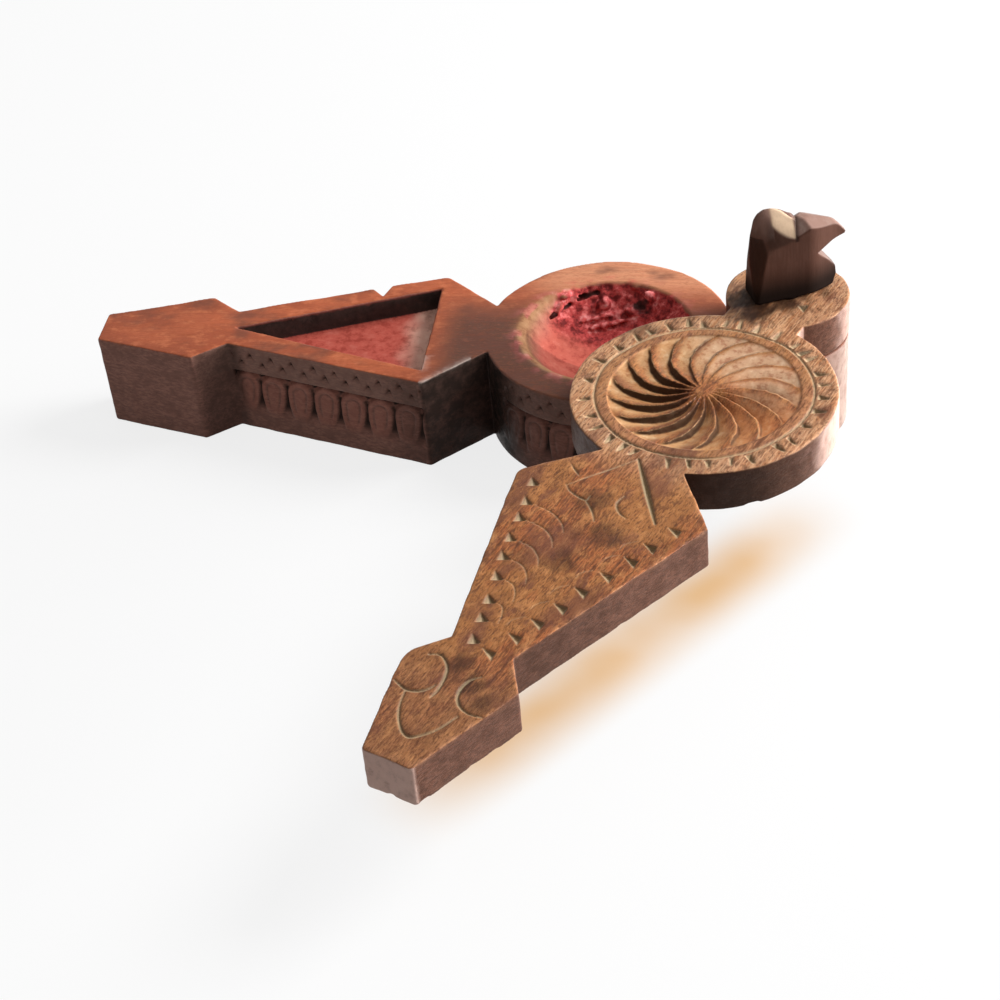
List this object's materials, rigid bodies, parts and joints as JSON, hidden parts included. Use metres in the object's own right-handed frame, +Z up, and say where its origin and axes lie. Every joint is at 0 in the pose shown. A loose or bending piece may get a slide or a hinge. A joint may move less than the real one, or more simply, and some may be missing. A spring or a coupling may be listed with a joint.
{
  "type": "carved wooden swivel-lid box",
  "caption": "Carved wooden devotional box with a round bowl and a three-cornered well, covered by a matching lid that swivels on a bird-headed peg.",
  "frame": {"origin": "on the face that the tray rests on, under the centre of its disc and bowl", "axes": "+Z up, +X along the tray from its finial towards the peg; the lid is stored swung open towards -Y"},
  "size_m": [0.16, 0.162, 0.0503],
  "materials": {
    "tray_wood": "red-stained hardwood, dark and hand-worn, dull wax sheen",
    "lid_wood": "golden brown hardwood, chip carved and polished by handling",
    "bird_wood": "dark brown hardwood, knife cut facets with a low polish",
    "pin_wood": "plain split hardwood",
    "red_powder": "dry caked red powder, matt and crumbly"
  },
  "bodies": {
    "tray": {"base_tray": "tray_wood", "pigment_crust": "red_powder"},
    "lid": {"swivel_lid": "lid_wood"},
    "peg": {"bird_peg": "bird_wood", "cross_pin": "pin_wood"}
  },
  "joints": [
    {"name": "lid_swivel", "type": "hinge", "parent": "tray", "child": "lid", "pos_m": [0.0373, 0, 0.0217], "axis": [0, 0, 1], "continuous": true},
    {"name": "peg_turn", "type": "hinge", "parent": "tray", "child": "peg", "pos_m": [0.0373, 0, 0.0217], "axis": [0, 0, 1], "continuous": true}
  ]
}
